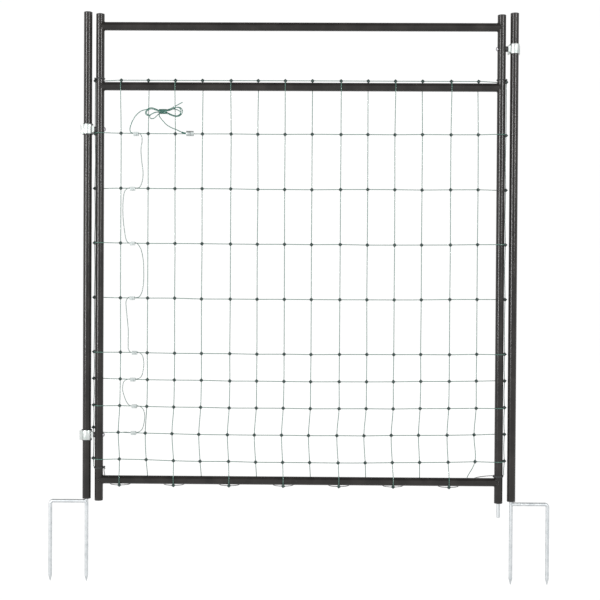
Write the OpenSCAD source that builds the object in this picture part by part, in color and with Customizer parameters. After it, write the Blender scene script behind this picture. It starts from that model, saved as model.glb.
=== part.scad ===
// Electric netting gate: a netted swing leaf between two posts that are pushed into the ground.
// Origin on the hinge post's axis at ground level, X along the closed leaf, -Y the side it opens to, Z up.

/* [Frame] */
// Distance between the axes of the two stiles
leaf_w = 1098; // [850:1:1400]
// Length of the stile and post tubes
tube_len = 1330; // [1080:1:1700]
// Outer diameter of every tube
tube_d = 23; // [19:0.5:28]
// Wall of every tube
tube_wall = 1.5; // [1:0.1:3]
// Height of the bottom of the stile tubes above the ground
leaf_lift = 10; // [4:1:40]
// Top rail's axis below the top of the stile tubes
top_rail_drop = 31; // [25:1:120]
// Middle rail's axis below the top rail's axis
middle_rail_drop = 164; // [90:1:300]
// Bottom rail's axis above the bottom of the stile tubes
bottom_rail_rise = 55; // [45:1:120]

/* [Posts and ground forks] */
// Gap between the hinge post's tube and the hinge stile's
hinge_clear = 10.5; // [9:0.5:37]
// Gap between the latch stile's tube and the latch post's
latch_clear = 12; // [10:0.5:37]
// Gap between a post tube's lower end and the crossbar of its fork
post_clear = 5; // [4:1:30]
// Diameter of the fork rods
prong_d = 10; // [6:0.5:12]
// Distance between the two prongs of a fork
fork_w = 100; // [60:1:160]
// Depth of the prong tips below the ground
prong_depth = 216; // [150:1:300]
// Length of the conical point of a prong
prong_point = 16; // [8:1:30]
// Bend radius of a fork rod on its centreline
fork_bend = 8; // [7:0.5:30]
// Length of the main prong held inside its post
prong_held = 60; // [30:1:120]

/* [Caps and plugs] */
// Height of a cap's rim above its tube
cap_rim = 2.5; // [1:0.5:6]
// Length of a cap or plug inside its tube
cap_hold = 16; // [8:1:40]
// Radial clearance of caps and plugs in the tubes
cap_fit = 0.05; // [0.02:0.01:0.2]
// Diameter of the ground pin
pin_d = 10; // [6:0.5:14]
// Length of the ground pin below the latch stile's plug
pin_out = 40; // [20:1:90]
// Length of the ground pin inside the latch stile
pin_held = 45; // [20:1:80]

/* [Clips] */
// Height of a clip along its post
clip_h = 26; // [18:1:50]
// Thickness of the clip strip
clip_t = 1.6; // [1:0.1:3]
// Width of a hinge clip's mouth
clip_mouth = 16; // [8:1:18]
// Length of a clip's flared lips
lip_len = 7.5; // [3:0.5:12]
// Length of a clip's neck from its ring to its end face
neck_len = 4; // [3:0.5:10]
// Depth of the latch clip's outer arm behind the post's axis
latch_arm = 9; // [4:0.5:12]
// Radial clearance between the latch clip and the latch post
latch_fit = 0.5; // [0.4:0.05:1.5]
// Height of the upper hinge clip's middle above the ground
upper_clip_z = 1027; // [900:1:1050]
// Height of the lower hinge clip's middle above the ground
lower_clip_z = 188; // [184:1:194]
// Height of the latch clip's middle below the top of the latch post
latch_clip_drop = 95; // [85:1:110]

/* [Hinge bushes] */
// Wall of a hinge bush
bush_wall = 1; // [0.8:0.1:2]
// Thickness of a bush's flanges
bush_flange = 1.4; // [1:0.1:4]
// Radial clearance between a bush and the post
bush_slide_fit = 0.2; // [0.1:0.05:0.4]
// Radial clearance between a clip and its bush
bush_turn_fit = 0.1; // [0.05:0.05:0.3]
// End clearance between a clip and the bush's flanges
bush_end_fit = 0.3; // [0.2:0.05:0.8]

/* [Bolts] */
// Diameter of the clip bolts
bolt_d = 6; // [4:0.5:8]
// Diameter of a bolt's domed head
bolt_head_d = 13; // [9:0.5:16]
// Height of a bolt's domed head
bolt_head_h = 4.5; // [2.5:0.5:6]
// Diameter of the saddle spacers
spacer_d = 15; // [11:0.5:18]

/* [Net] */
// Diameter of a net strand
strand_d = 2.2; // [1.5:0.1:3]
// Size of a moulded knot, corner to corner
knot_d = 8.8; // [7.6:0.1:9]
// Depth of a moulded knot, front to back
knot_depth = 5.4; // [5:0.1:6]
// Distance from a stile's axis to the nearest upright
net_side_margin = 60; // [50:1:90]
// Shift of the uprights towards the hinge stile
net_shift = 2; // [0:1:6]
// Extra distance after every fourth upright
net_step = 4; // [0:0.5:8]
// Distance between the lines in the close lower part
short_pitch = 73.5; // [60:0.1:76]
// Shortening of the uppermost tall mesh
top_tuck = 4.5; // [0:0.5:12]
// Height of the hinge stile's lower tie above the bottom rail's axis
hinge_tie_rise = 33; // [20:0.5:45]
// Height of the latch stile's lower tie above the bottom rail's axis
latch_tie_rise = 17; // [17:0.5:45]

/* [Leads] */
// Diameter of the jumper lead
jumper_d = 2.2; // [1.5:0.1:2.6]
// Diameter of the feed cord
feed_d = 2.6; // [2:0.1:3]
// Length of a line clamp along its line
clamp_len = 14; // [10:1:18]
// Diameter of the clamp screws
clamp_screw_d = 2.6; // [2:0.1:3]
// Diameter of the feed clamp
feed_clamp_d = 14.4; // [12:0.2:18]

/* [Hidden] */
$fn = 48;
rows = 10;
tall_rows = 5;
uprights = 14;
sweep_sides = 8;
small_gap = 0.1;
// The held ends of the rods are turned down by this much on the radius
shoulder = 0.25;

tube_r = tube_d / 2;
bore_r = tube_r - tube_wall;
prong_r = prong_d / 2;
pin_r = pin_d / 2;
strand_r = strand_d / 2;
knot_r = knot_d / 2;
bolt_r = bolt_d / 2;

hinge_gap = tube_d + hinge_clear;
latch_gap = tube_d + latch_clear;
hinge_stile_x = hinge_gap;
latch_stile_x = hinge_gap + leaf_w;
latch_post_x = latch_stile_x + latch_gap;

// The crossbars rest on the ground, and the posts stand just above them
crossbar_z = prong_r;
post_bottom = prong_d + post_clear;
post_top = post_bottom + tube_len;
stile_top = leaf_lift + tube_len;
top_rail_z = stile_top - top_rail_drop;
middle_rail_z = top_rail_z - middle_rail_drop;
bottom_rail_z = leaf_lift + bottom_rail_rise;
latch_clip_z = post_top - latch_clip_drop;

bush_in_r = tube_r + bush_slide_fit;
bush_out_r = bush_in_r + bush_wall;
hinge_clip_in = bush_out_r + bush_turn_fit;
hinge_clip_out = hinge_clip_in + clip_t;
latch_clip_in = tube_r + latch_fit;
latch_clip_out = latch_clip_in + clip_t;

// Net lines run just above the middle rail and just below the bottom rail
line_offset = tube_r + knot_r + 0.6;
top_line_z = middle_rail_z + line_offset;
bottom_line_z = bottom_rail_z - line_offset;
tall_pitch = (top_line_z - bottom_line_z - tall_rows * short_pitch + top_tuck) / tall_rows;
cross_offset = strand_r + 0.2;
// Strands run straight for this far on each side of a knot's middle
knot_lead = knot_r + 1;
edge_x = tube_r + strand_r + 0.5;
edge_y = spacer_d / 2 + 2.5;
upright_pitch = (leaf_w - 2 * net_side_margin - 3 * net_step) / (uprights - 1);
// The eighth line climbs over the lower hinge clip's neck
climb_row = 8;
climb_z = lower_clip_z + spacer_d / 2 + knot_r + 8;

function line_z(row) =
    row == 0 ? top_line_z
    : row <= tall_rows ? top_line_z + top_tuck - row * tall_pitch
    : bottom_line_z + (rows - row) * short_pitch;
function edge_z(row) = row == climb_row ? climb_z : line_z(row);
upper_tie_z = top_line_z + 2 * strand_r + 1.2;
hinge_tie_z = bottom_rail_z + hinge_tie_rise;
latch_tie_z = bottom_rail_z + latch_tie_rise;
tie_ring_r = tube_r + strand_r + 0.1;
function upright_x(i) =
    hinge_stile_x + net_side_margin - net_shift + (i - 1) * upright_pitch + floor((i - 1) / 4) * net_step;

// The leads lie in front of the net
lead_y = -5.6;
feed_y = -6;
clamp_rows = [1, 2, 3, 4, 5, 6, 7, 8];
clamp_x = [133, 124, 124, 124, 131, 127, 131, 129];
clamp_body_y = [-3.5, 1.6];
clamp_plate_y = [-7.8, -3.6];
clamp_top = 3.2;
clamp_bottom = -6.8;
clamp_screw_z = -4;
feed_clamp_x = 271;
feed_clamp_split = 283;
feed_clamp_end = 291;

// Jumper lead: across each line clamp in turn, in loops to the right and the left of them, as [x, z]
jumper_route = [
    [126.1, 1016], [142, 1016], [148, 1009], [150, 996], [147, 972], [149, 941], [153, 906], [150, 882],
    [143, 868], [134, 866], [114, 866], [104, 859], [99, 836], [98, 801], [100, 769], [104, 741], [108, 723],
    [114, 716], [134, 716], [146, 703], [154, 672], [156, 637], [155, 603], [150, 578], [143, 568],
    [134, 566], [114, 566], [108, 556], [108, 540], [111, 510], [114, 478], [114, 445], [115, 424],
    [121, 416], [141, 416], [152, 409], [157, 388], [155, 364], [149, 348], [137, 342.5], [117, 342.5],
    [104, 337], [99, 316], [104, 294], [113, 275], [121, 269], [141, 269], [154, 262], [160, 246],
    [159, 226], [152, 203], [139, 195.5], [119, 195.5], [108, 196.5], [100, 196]];

// Feed cord on each side of its hank, as [x, y, z]
feed_left_route = [
    [158.4, -13.5, 1082], [150, -13.5, 1078.5], [141, -13, 1071.5], [132, -12, 1062], [125, -10.5, 1050],
    [120, -9, 1038], [117, -7.5, 1029], [117, -6.8, 1023], [119.5, -6.2, 1018], [125.9, -5.6, 1016]];
feed_right_route = [
    [198, -13.5, 1066.2], [201, -13.5, 1060], [206, -13.5, 1051], [216, -13, 1040], [230, -12, 1031],
    [244, -10.5, 1025.5], [256, -8.5, 1020], [264, -6.8, 1016.8], [270.9, -6, 1016]];
feed_end_route = [[229, -13.5, 1087.4], [238, -13.8, 1092], [248, -14, 1096.5], [256, -14, 1100.5], [263, -13.8, 1103.5]];

hank_front = -18;
hank_back = -9;
hank_left = [173, 1074];
hank_right = [247, 1078];
hank_left_r = 15.5;
hank_right_r = 14.5;
hank_waist = [1067, 1085];

coat = [0.11, 0.11, 0.11];
plastic = [0.06, 0.06, 0.06];
zinc = [0.78, 0.8, 0.8];
twine = [0.10, 0.42, 0.30];

// ---- shared shapes ----

function unit(v) = v / norm(v);
function step_from(p, i) = unit(p[i + 1] - p[i]);
function heading(p, i) =
    i == 0 ? step_from(p, 0)
    : i == len(p) - 1 ? step_from(p, i - 1)
    : unit(step_from(p, i - 1) + step_from(p, i));

// Corners of the cross-section at point i: a regular polygon mitred into the bend
function section(p, i, r, up) =
    let (t = heading(p, i), side = unit(cross(t, up)), top = cross(side, t),
         mitre = 1 / (t * step_from(p, min(i, len(p) - 2))))
    [for (k = [0 : sweep_sides - 1])
        p[i] + r * (cos(360 * k / sweep_sides) * mitre * side + sin(360 * k / sweep_sides) * top)];

// Tube along the points p; up is a direction that the route never takes
module sweep(p, r, up) {
    n = sweep_sides;
    m = len(p);
    corners = [for (i = [0 : m - 1]) each section(p, i, r, up)];
    walls = [for (i = [0 : m - 2], k = [0 : n - 1])
        let (a = i * n + k, b = i * n + (k + 1) % n) each [[a, b, b + n], [a, b + n, a + n]]];
    first = [for (k = [1 : n - 2]) [0, k + 1, k]];
    last = [for (k = [1 : n - 2]) [(m - 1) * n, (m - 1) * n + k, (m - 1) * n + k + 1]];
    polyhedron(corners, concat(walls, first, last));
}

module along_x(x0, x1, r) {
    translate([x0, 0, 0]) rotate([0, 90, 0]) cylinder(h = x1 - x0, r = r);
}

module along_y(y0, y1, r) {
    translate([0, y1, 0]) rotate([90, 0, 0]) cylinder(h = y1 - y0, r = r);
}

module tube(h) {
    difference() {
        cylinder(h = h, r = tube_r);
        translate([0, 0, -1]) cylinder(h = h + 2, r = bore_r);
    }
}

// Cap with its rim at z = 0 and up, its ribbed stem below
module cap(stem) {
    soft = 1;
    rotate_extrude()
        polygon([
            [0, -stem], [bore_r - cap_fit - soft, -stem], [bore_r - cap_fit, soft - stem], [bore_r - cap_fit, 0],
            [tube_r, 0], [tube_r, cap_rim - soft], [tube_r - 0.3 * soft, cap_rim - 0.3 * soft],
            [tube_r - soft, cap_rim], [0, cap_rim]]);
}

// ---- posts ----

module post(x) {
    color(coat) translate([x, 0, post_bottom]) tube(tube_len);
}

module top_cap(x, z) {
    color(plastic) translate([x, 0, z]) cap(cap_hold);
}

module foot_plug(x, z, rod_r) {
    color(plastic) translate([x, 0, z])
        difference() {
            mirror([0, 0, 1]) cap(cap_hold);
            translate([0, 0, -cap_rim - 1]) cylinder(h = cap_hold + cap_rim + 2, r = rod_r + cap_fit);
        }
}

module spike(r, depth) {
    translate([0, 0, -depth + prong_point]) cylinder(h = depth - prong_point, r = r);
    translate([0, 0, -depth]) cylinder(h = prong_point, r1 = 0.8, r2 = r);
}

module main_prong(x) {
    color(zinc) translate([x, 0, 0]) {
        spike(prong_r, prong_depth);
        cylinder(h = post_bottom + prong_held, r = prong_r - shoulder);
    }
}

// Crossbar and outer prong bent from one rod; outward is -1 or 1 along X
module side_prong(x, outward) {
    bar = fork_w - fork_bend;
    color(zinc) translate([x, 0, 0]) mirror([outward > 0 ? 0 : 1, 0, 0]) {
        translate([0, 0, crossbar_z])
            difference() {
                along_x(0, bar, prong_r);
                translate([0, 0, -prong_d]) cylinder(h = 2 * prong_d, r = prong_r);
            }
        translate([bar, 0, crossbar_z - fork_bend]) rotate([90, 0, 0])
            rotate_extrude(angle = 90) translate([fork_bend, 0]) circle(r = prong_r);
        translate([fork_w, 0, crossbar_z - fork_bend]) spike(prong_r, prong_depth + crossbar_z - fork_bend);
    }
}

// ---- leaf frame ----

module bolt_holes(x, heights) {
    for (z = heights)
        translate([x, 0, z]) along_x(-tube_d, tube_d, bolt_r + 0.3);
}

module stile(x, heights) {
    color(coat) difference() {
        translate([x, 0, leaf_lift]) tube(tube_len);
        bolt_holes(x, heights);
    }
}

// Rail with its ends coped to the stiles
module rail(z) {
    cope = tube_r + 0.05;
    color(coat) difference() {
        translate([0, 0, z]) along_x(hinge_stile_x, latch_stile_x, tube_r);
        translate([0, 0, z]) along_x(hinge_stile_x - 1, latch_stile_x + 1, bore_r);
        for (x = [hinge_stile_x, latch_stile_x])
            translate([x, 0, z - tube_d]) cylinder(h = 2 * tube_d, r = cope);
    }
}

module ground_pin() {
    chamfer = 1.5;
    plug_end = leaf_lift - cap_rim;
    color(zinc) translate([latch_stile_x, 0, plug_end]) {
        cylinder(h = pin_held + cap_rim, r = pin_r - shoulder);
        translate([0, 0, chamfer - pin_out]) cylinder(h = pin_out - chamfer, r = pin_r);
        translate([0, 0, -pin_out]) cylinder(h = chamfer, r1 = pin_r - chamfer, r2 = pin_r);
    }
}

// ---- hinge and latch ----

module bush(z) {
    half = clip_h / 2 + bush_end_fit;
    color(plastic) translate([0, 0, z]) difference() {
        union() {
            translate([0, 0, -half]) cylinder(h = 2 * half, r = bush_out_r);
            for (s = [-half - bush_flange, half])
                translate([0, 0, s]) cylinder(h = bush_flange, r = hinge_clip_out - 0.2);
        }
        translate([0, 0, -half - bush_flange - 1]) cylinder(h = 2 * (half + bush_flange + 1), r = bush_in_r);
    }
}

module lip(angle) {
    rotate(angle) translate([-clip_t / 2, -clip_t / 2]) square([lip_len + clip_t / 2, clip_t]);
}

// Neck that carries the bolt, from the ring's outside to its end face
module neck(inner, outer) {
    end = outer + neck_len;
    half_w = bolt_d / 2 + 3.5;
    difference() {
        translate([0, half_w, 0]) rotate([90, 0, 0]) linear_extrude(2 * half_w)
            polygon([
                [0.7 * outer, 4 - clip_h / 2], [outer, 4 - clip_h / 2], [end, -half_w],
                [end, half_w], [outer, clip_h / 2 - 4], [0.7 * outer, clip_h / 2 - 4]]);
        translate([0, 0, -clip_h]) cylinder(h = 2 * clip_h, r = inner + clip_t / 3);
        translate([outer + 0.4, 0, 0]) along_x(0, neck_len + 1, bolt_r + 0.05);
    }
}

// Round spring clip, open away from the leaf, which lies towards +X
module hinge_clip(z) {
    half_mouth = clip_mouth / 2;
    mid_r = (hinge_clip_in + hinge_clip_out) / 2;
    lip_x = -sqrt(mid_r * mid_r - half_mouth * half_mouth);
    color(zinc) translate([0, 0, z]) {
        translate([0, 0, -clip_h / 2]) linear_extrude(clip_h) {
            difference() {
                circle(r = hinge_clip_out);
                circle(r = hinge_clip_in);
                translate([-2 * hinge_clip_out, -half_mouth]) square([2 * hinge_clip_out, clip_mouth]);
            }
            translate([lip_x, half_mouth]) lip(147);
            translate([lip_x, -half_mouth]) lip(-147);
        }
        neck(hinge_clip_in, hinge_clip_out);
    }
}

// Hooked clip, open to the back so that the leaf can swing forward off the post
module latch_clip() {
    mid_r = (latch_clip_in + latch_clip_out) / 2;
    color(zinc) translate([latch_post_x, 0, latch_clip_z]) mirror([1, 0, 0]) {
        translate([0, 0, -clip_h / 2]) linear_extrude(clip_h) {
            difference() {
                union() {
                    circle(r = latch_clip_out);
                    translate([-latch_clip_out, 0]) square([2 * latch_clip_out, latch_arm]);
                }
                circle(r = latch_clip_in);
                translate([-latch_clip_in, 0]) square([2 * latch_clip_in, 2 * latch_clip_out]);
            }
            translate([-mid_r, latch_arm]) lip(125);
            translate([mid_r, latch_arm]) lip(70);
        }
        neck(latch_clip_in, latch_clip_out);
    }
}

// Dome-headed bolt from the leaf's side of a stile into a clip's neck; the clip lies towards -X
module clip_bolt(length) {
    head_r = bolt_head_d / 2;
    dome_r = (head_r * head_r + bolt_head_h * bolt_head_h) / (2 * bolt_head_h);
    rotate([0, 90, 0]) rotate_extrude() {
        translate([0, -length]) square([bolt_r, length]);
        intersection() {
            translate([0, bolt_head_h - dome_r]) circle(r = dome_r);
            square([head_r, bolt_head_h]);
        }
    }
}

module hinge_bolt(z) {
    length = hinge_gap + tube_r - hinge_clip_out - 1;
    translate([hinge_stile_x + tube_r + small_gap, 0, z]) clip_bolt(length);
}

module latch_bolt() {
    length = latch_gap + tube_r - latch_clip_out - 1;
    translate([latch_stile_x - tube_r - small_gap, 0, latch_clip_z]) mirror([1, 0, 0]) clip_bolt(length);
}

// Spacer between a clip's neck at x0 and the stile at x1, hollowed to sit on the stile's round side
module spacer(x0, x1, z) {
    translate([0, 0, z]) difference() {
        along_x(min(x0, x1 - tube_r), max(x0, x1 - tube_r) + 3, spacer_d / 2);
        translate([x1, 0, -spacer_d]) cylinder(h = 2 * spacer_d, r = tube_r + 0.05);
        along_x(x0 - 1, x1, bolt_r + 0.2);
    }
}

module saddle_spacers() {
    color(plastic) {
        for (z = [upper_clip_z, lower_clip_z])
            spacer(hinge_clip_out + neck_len + 0.05, hinge_stile_x, z);
        translate([latch_post_x, 0, 0]) mirror([1, 0, 0])
            spacer(latch_clip_out + neck_len + 0.05, latch_gap, latch_clip_z);
    }
}

// ---- net ----

// Points of a line from its hinge-side edge to the first upright, about the stile's axis
function round_stile(front) =
    front ? [[-edge_x - 0.3, edge_y - knot_depth / 2 - 1], [-edge_x - 0.9, 0.5],
             [-tube_r, -tube_r + 3], [-2, -tube_r - strand_r - 1]]
    : [[-edge_x + knot_r + 0.5, edge_y + 0.9], [-2, tube_r + strand_r + 1]];

// A line runs round both stiles, in front of them on odd rows and behind them on even ones
module net_line(row) {
    z = line_z(row);
    turn = round_stile(row % 2 == 1);
    n = len(turn);
    left = [for (i = [0 : n - 1]) [hinge_stile_x + turn[i].x, turn[i].y, i == 0 ? edge_z(row) : z]];
    right = [for (i = [n - 1 : -1 : 0]) [latch_stile_x - turn[i].x, turn[i].y, z]];
    middle = [for (x = [upright_x(1) - knot_lead, upright_x(uprights) + knot_lead]) [x, -cross_offset, z]];
    color(twine) sweep(concat(left, middle, right), strand_r, [0, 0, 1]);
}

// Bottom line: at each end it goes up behind the bottom rail towards the stile's tie
module net_bottom_line() {
    x0 = upright_x(1) - knot_lead;
    x1 = upright_x(uprights) + knot_lead;
    out = tube_r + strand_r + 1.4;
    left = [
        [hinge_stile_x + tube_r + 2.2, 5, hinge_tie_z - 7.5], [hinge_stile_x + tube_r + 7, 10, hinge_tie_z - 18],
        [x0 - 20, out, bottom_rail_z], [x0 - 10, out - 4, bottom_line_z + 2]];
    right = [
        [x1 + 10, out - 4, bottom_line_z + 2], [x1 + 20, out, bottom_rail_z],
        [latch_stile_x - tube_r - 8, 13, bottom_rail_z + 8], [latch_stile_x - tube_r - 3.5, 10, latch_tie_z - 5]];
    middle = [for (x = [x0, x1]) [x, -cross_offset, bottom_line_z]];
    color(twine) sweep(concat(left, middle, right), strand_r, [0, 0.3, 1]);
}

// Points of an upright from its end knot to the far side of a rail, about the rail's axis; side is -1 in front
function round_rail(side) =
    [[side * (knot_depth / 2 + strand_r + 0.2), line_offset - 2], [side * (tube_r - 2.2), tube_r - 0.5],
     [side * (tube_r + strand_r + 0.5), 2], [side * (tube_r + strand_r + 0.3), -4]];

module upright(i) {
    side = i % 2 == 1 ? -1 : 1;
    turn = round_rail(side);
    x = upright_x(i);
    top = [for (p = turn) [x, p.x, middle_rail_z + p.y]];
    bottom = [for (k = [3 : -1 : 0]) [x, turn[k].x, bottom_rail_z - turn[k].y]];
    straight = [for (z = [line_z(1) + knot_lead, line_z(rows - 1) - knot_lead]) [x, cross_offset, z]];
    sweep(concat(top, straight, bottom), strand_r, [1, 0, 0]);
}

module front_uprights() {
    color(twine) for (i = [1 : 2 : uprights]) upright(i);
}

module back_uprights() {
    color(twine) for (i = [2 : 2 : uprights]) upright(i);
}

// Outer strand beside a stile, from the top line's edge knot to the tie; side is -1 at the hinge stile
module edge_upright(stile_x, side, tie_z) {
    x = stile_x + side * edge_x;
    color(twine) sweep([
        [x, edge_y, top_line_z + knot_lead], [x, edge_y, line_z(rows - 1) - knot_lead],
        [x, 4, tie_z + strand_r + 7], [x, 1, tie_z + strand_r + 1]], strand_r, [1, 0, 0]);
}

// Diamond-shaped knot with its middle at the origin
module knot() {
    side = knot_d / sqrt(2);
    rotate([0, 45, 0]) cube([side, knot_depth, side], center = true);
}

module net_knots() {
    hole = strand_r + 0.08;
    color(plastic) {
        difference() {
            for (row = [0 : rows], i = [1 : uprights])
                translate([upright_x(i), 0, line_z(row)]) knot();
            for (row = [0 : rows])
                translate([0, -cross_offset, line_z(row)])
                    along_x(upright_x(1) - 2 * knot_r, upright_x(uprights) + 2 * knot_r, hole);
            for (i = [1 : uprights])
                translate([upright_x(i), cross_offset, line_z(rows - 1) - 2 * knot_r])
                    cylinder(h = line_z(1) - line_z(rows - 1) + 4 * knot_r, r = hole);
        }
        for (x = [hinge_stile_x - edge_x, latch_stile_x + edge_x])
            difference() {
                for (row = [0 : rows - 1])
                    translate([x, edge_y, x < latch_stile_x ? edge_z(row) : line_z(row)]) knot();
                translate([x, edge_y, bottom_line_z - 2 * knot_r])
                    cylinder(h = top_line_z - bottom_line_z + 4 * knot_r, r = hole);
            }
    }
}

// Ring of cord round a stile with its knot; side is the knot's direction along X
module corner_tie(x, z, side) {
    tie_knot_r = 3;
    translate([x, 0, z]) {
        rotate_extrude() translate([tie_ring_r, 0]) circle(r = strand_r, $fn = 24);
        translate([side * (tube_r + 2 * small_gap + tie_knot_r), -1, 0.3]) sphere(r = tie_knot_r);
    }
}

module corner_ties() {
    color(plastic) {
        corner_tie(hinge_stile_x, upper_tie_z, -1);
        corner_tie(latch_stile_x, upper_tie_z, 1);
        corner_tie(hinge_stile_x, hinge_tie_z, 1);
        corner_tie(latch_stile_x, latch_tie_z, -1);
    }
}

// ---- leads and clamps ----

module clamp_block(depth, bore_y, bore_d) {
    difference() {
        translate([-clamp_len / 2, depth[0], clamp_bottom])
            cube([clamp_len, depth[1] - depth[0], clamp_top - clamp_bottom]);
        translate([0, bore_y, 0]) along_x(-clamp_len, clamp_len, bore_d / 2 + small_gap);
        translate([0, 0, clamp_screw_z]) along_y(clamp_plate_y[0] - 1, clamp_body_y[1] - 1, clamp_screw_d / 2 + 0.05);
    }
}

module at_clamps() {
    for (i = [0 : len(clamp_rows) - 1])
        translate([clamp_x[i], 0, line_z(clamp_rows[i])]) children();
}

module clamp_bodies() {
    color(zinc) at_clamps() clamp_block(clamp_body_y, -cross_offset, strand_d);
}

module clamp_plates() {
    color(zinc) at_clamps() clamp_block(clamp_plate_y, lead_y, jumper_d);
}

module clamp_screws() {
    head_r = clamp_screw_d;
    face = clamp_plate_y[0] - 0.05;
    color(zinc) at_clamps() translate([0, 0, clamp_screw_z]) {
        along_y(face, clamp_body_y[1] - 1.5, clamp_screw_d / 2);
        along_y(face - 1.8, face, head_r);
    }
}

module jumper_lead() {
    color(twine) sweep([for (p = jumper_route) [p.x, lead_y, p.y]], jumper_d / 2, [0, 1, 0]);
}

module feed_cord(route) {
    color(twine) sweep(route, feed_d / 2, [0, 1, 0]);
}

// Outer shape of the wound feed cord: two lobes and a bound waist
module feed_cord_hank() {
    color(twine) translate([0, hank_back, 0]) rotate([90, 0, 0]) linear_extrude(hank_back - hank_front) {
        translate(hank_left) circle(r = hank_left_r);
        translate(hank_right) circle(r = hank_right_r);
        translate([hank_left.x, hank_waist[0]])
            square([hank_right.x - hank_left.x, hank_waist[1] - hank_waist[0]]);
    }
}

module feed_clamp_piece(x0, x1, sides) {
    bore_y = -cross_offset;
    translate([0, 0, line_z(1)]) difference() {
        translate([x0, (bore_y + feed_y) / 2, 0]) rotate([0, 90, 0])
            cylinder(h = x1 - x0, r = feed_clamp_d / 2, $fn = sides);
        translate([0, bore_y, 0]) along_x(x0 - 1, x1 + 1, strand_r + small_gap);
    }
}

module feed_clamp_body() {
    color(zinc) feed_clamp_piece(feed_clamp_x, feed_clamp_split, 48);
}

module feed_clamp_nut() {
    color(zinc) feed_clamp_piece(feed_clamp_split + 0.05, feed_clamp_end, 6);
}

post(0);  // hinge_post
post(latch_post_x);  // latch_post
top_cap(0, post_top);  // hinge_post_cap
top_cap(latch_post_x, post_top);  // latch_post_cap
foot_plug(0, post_bottom, prong_r - shoulder);  // hinge_post_plug
foot_plug(latch_post_x, post_bottom, prong_r - shoulder);  // latch_post_plug
main_prong(0);  // hinge_main_prong
side_prong(0, -1);  // hinge_side_prong
main_prong(latch_post_x);  // latch_main_prong
side_prong(latch_post_x, 1);  // latch_side_prong
bush(upper_clip_z);  // upper_hinge_bush
bush(lower_clip_z);  // lower_hinge_bush
stile(hinge_stile_x, [upper_clip_z, lower_clip_z]);  // hinge_stile
stile(latch_stile_x, [latch_clip_z]);  // latch_stile
rail(top_rail_z);  // top_rail
rail(middle_rail_z);  // middle_rail
rail(bottom_rail_z);  // bottom_rail
top_cap(hinge_stile_x, stile_top);  // hinge_stile_cap
top_cap(latch_stile_x, stile_top);  // latch_stile_cap
color(plastic) translate([hinge_stile_x, 0, leaf_lift]) mirror([0, 0, 1]) cap(cap_hold);  // hinge_stile_plug
foot_plug(latch_stile_x, leaf_lift, pin_r - shoulder);  // latch_stile_plug
ground_pin();
hinge_clip(upper_clip_z);  // upper_hinge_clip
hinge_clip(lower_clip_z);  // lower_hinge_clip
latch_clip();
color(zinc) {  // clip_bolts
    hinge_bolt(upper_clip_z);
    hinge_bolt(lower_clip_z);
    latch_bolt();
}
saddle_spacers();
net_line(0);  // net_top_line
net_line(1);  // net_line_1
net_line(2);  // net_line_2
net_line(3);  // net_line_3
net_line(4);  // net_line_4
net_line(5);  // net_line_5
net_line(6);  // net_line_6
net_line(7);  // net_line_7
net_line(8);  // net_line_8
net_line(9);  // net_line_9
net_bottom_line();
edge_upright(hinge_stile_x, -1, hinge_tie_z);  // hinge_edge_upright
edge_upright(latch_stile_x, 1, latch_tie_z);  // latch_edge_upright
front_uprights();
back_uprights();
net_knots();
corner_ties();
clamp_bodies();
clamp_plates();
clamp_screws();
jumper_lead();
feed_cord(feed_left_route);  // feed_cord_left
feed_cord_hank();
feed_cord(feed_right_route);  // feed_cord_right
feed_cord(feed_end_route);  // feed_cord_end
feed_clamp_body();
feed_clamp_nut();
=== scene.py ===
"""Looks of an electric netting gate: a coated tube leaf strung with netting, between fork-footed posts."""

import logging
import math
import random
from dataclasses import dataclass, field
from enum import Enum
from typing import Any, Callable, Iterable, Mapping, Sequence

import bpy
from mathutils import Matrix, Vector


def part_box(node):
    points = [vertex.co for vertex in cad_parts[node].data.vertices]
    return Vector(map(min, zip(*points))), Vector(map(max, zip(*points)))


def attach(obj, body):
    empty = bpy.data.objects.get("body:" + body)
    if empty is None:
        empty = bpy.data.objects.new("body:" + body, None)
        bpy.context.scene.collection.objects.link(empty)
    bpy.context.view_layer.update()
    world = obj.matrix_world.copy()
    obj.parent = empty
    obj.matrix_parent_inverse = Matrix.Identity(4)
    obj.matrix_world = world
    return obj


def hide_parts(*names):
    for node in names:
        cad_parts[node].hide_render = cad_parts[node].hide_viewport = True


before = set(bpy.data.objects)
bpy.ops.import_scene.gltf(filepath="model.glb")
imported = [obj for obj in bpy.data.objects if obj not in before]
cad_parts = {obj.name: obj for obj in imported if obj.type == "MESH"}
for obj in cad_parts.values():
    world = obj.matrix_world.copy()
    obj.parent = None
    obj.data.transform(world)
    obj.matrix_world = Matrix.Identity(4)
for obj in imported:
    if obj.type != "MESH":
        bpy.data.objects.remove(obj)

LOG = logging.getLogger("netting_gate")
MM = 0.001
UP = Vector((0, 0, 1))
Color = tuple[float, float, float]


class Body(Enum):
    """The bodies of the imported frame."""

    POSTS = "posts"
    BUSHES = "hinge_bushes"
    LEAF = "leaf"


class Side(Enum):
    """Which way something lies along the leaf."""

    HINGE = -1
    LATCH = 1


# ---- shader expressions ----


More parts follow.
